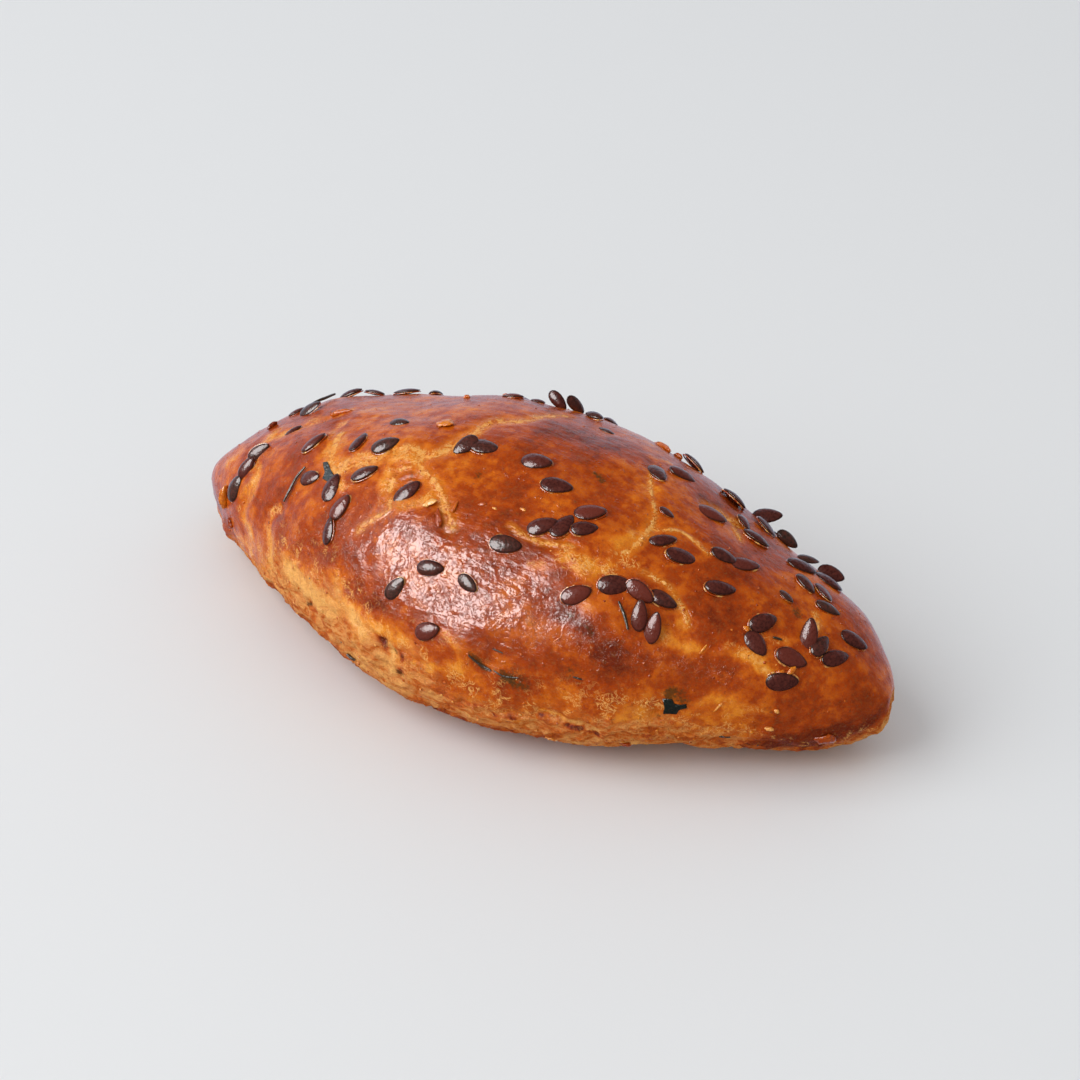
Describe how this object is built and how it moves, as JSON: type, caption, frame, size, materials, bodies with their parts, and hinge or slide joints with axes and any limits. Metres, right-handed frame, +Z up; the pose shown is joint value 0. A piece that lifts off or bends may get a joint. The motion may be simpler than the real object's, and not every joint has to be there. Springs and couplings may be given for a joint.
{
  "type": "pogaca",
  "caption": "Long egg-glazed savoury bread roll with torn golden seams, strewn with flax seeds and a little herb leaf, lying flat on its own base.",
  "frame": {"origin": "middle of the bounding box on the surface that the roll lies on", "axes": "+X along the roll towards its blunter end, +Y to its back, +Z up through the crown"},
  "size_m": [0.1389, 0.0673, 0.0433],
  "materials": {
    "glazed_crust": "satin",
    "flax_seed": "gloss",
    "herb_leaf": "matte"
  },
  "bodies": {
    "root": {"bun": "glazed_crust"}
  },
  "joints": []
}
